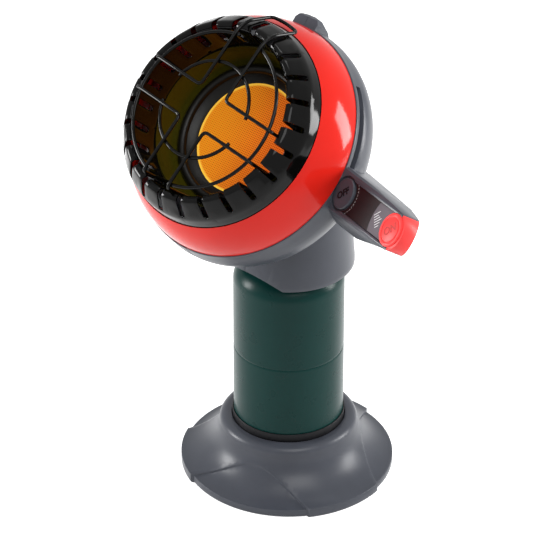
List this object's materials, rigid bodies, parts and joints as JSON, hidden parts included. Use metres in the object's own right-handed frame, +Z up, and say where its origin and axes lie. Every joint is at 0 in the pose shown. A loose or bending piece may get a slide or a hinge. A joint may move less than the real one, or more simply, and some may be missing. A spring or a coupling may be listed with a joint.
{
  "type": "portable propane heater",
  "caption": "Radiant propane heater: a tilted round burner head with a wire guard and a side control arm, screwed onto a gas cylinder that stands in a round foot.",
  "frame": {"origin": "centre of the foot's underside, on the surface it stands on", "axes": "+Z up along the gas cylinder's axis, -Y the way the burner faces, +X towards the control arm"},
  "size_m": [0.3222, 0.2549, 0.4649],
  "materials": {
    "grey_plastic": "satin",
    "black_plastic": "satin",
    "green_paint": "satin",
    "steel": "satin",
    "spring_steel": "polished",
    "brass": "satin",
    "black_rubber": "matte",
    "burner_ceramic": "matte",
    "white_ceramic": "satin",
    "gasket_fibre": "matte",
    "burner_black": "matte",
    "gold_reflector": "gloss",
    "black_enamel": "gloss",
    "red_paint": "gloss",
    "red_plastic": "gloss",
    "red_rubber": "satin",
    "label_film": "gloss"
  },
  "bodies": {
    "foot": {"base_foot": "grey_plastic"},
    "cylinder": {"cylinder_boot": "black_plastic", "cylinder_lower_shell": "green_paint", "cylinder_upper_shell": "green_paint", "cylinder_neck": "steel", "cylinder_valve": "brass", "cylinder_relief_valve": "brass"},
    "seal": {"inlet_seal": "black_rubber"},
    "head": {"inlet_fitting": "brass", "regulator_body": "brass", "regulator_diaphragm": "black_rubber", "regulator_spring": "spring_steel", "regulator_cap": "steel", "gas_supply_tube": "brass", "valve_body": "brass", "valve_magnet": "steel", "jet_feed_tube": "brass", "jet_holder": "brass", "burner_jet": "brass", "venturi_tube": "steel", "burner_cup": "steel", "tile_gasket": "gasket_fibre", "ceramic_tile": "burner_ceramic", "tile_retainer": "burner_black", "reflector": "gold_reflector", "slotted_dish": "black_enamel", "front_ring": "red_paint", "heat_shield": "steel", "guard_wire_top": "black_enamel", "guard_wire_left": "black_enamel", "guard_wire_right": "black_enamel", "guard_outer_arcs": "black_enamel", "guard_inner_arcs": "black_enamel", "pilot_bracket": "steel", "pilot_tube": "brass", "thermocouple": "brass", "spark_electrode": "white_ceramic", "ignition_lead": "red_rubber", "housing_left": "grey_plastic", "housing_right": "grey_plastic", "arm_back_cover": "grey_plastic", "label_panel": "label_film", "control_bracket": "steel", "piezo_igniter": "black_plastic", "on_spring": "spring_steel", "off_spring": "spring_steel", "tilt_switch": "black_plastic", "housing_screws": "steel"},
    "on_control": {"on_button": "red_plastic", "on_push_bar": "steel"},
    "off_control": {"off_button": "grey_plastic", "off_push_bar": "steel"}
  },
  "joints": [
    {"name": "cylinder_lift", "type": "slide", "parent": "foot", "child": "cylinder", "axis": [0, 0, 1], "range_m": [0, 0.06]},
    {"name": "head_thread_rise", "type": "slide", "parent": "cylinder", "child": "seal", "axis": [0, 0, 1], "range_m": [0, 0.00645]},
    {"name": "head_unscrew", "type": "hinge", "parent": "seal", "child": "head", "pos_m": [0, 0, 0.224], "axis": [0, 0, 1], "range_deg": [0, 1800]},
    {"name": "on_button_press", "type": "slide", "parent": "head", "child": "on_control", "axis": [0.3632, 0.7519, -0.5502], "range_m": [0, 0.006], "stiffness_N_per_m": 900, "springref_m": -0.002, "deforming": ["on_spring"]},
    {"name": "off_button_press", "type": "slide", "parent": "head", "child": "off_control", "axis": [0.3632, 0.7519, -0.5502], "range_m": [0, 0.004], "stiffness_N_per_m": 900, "springref_m": -0.002, "deforming": ["off_spring"]}
  ],
  "couplings": [
    {"joint": "head_thread_rise", "follows": "head_unscrew", "m_per_rad": 0.00020213}
  ]
}
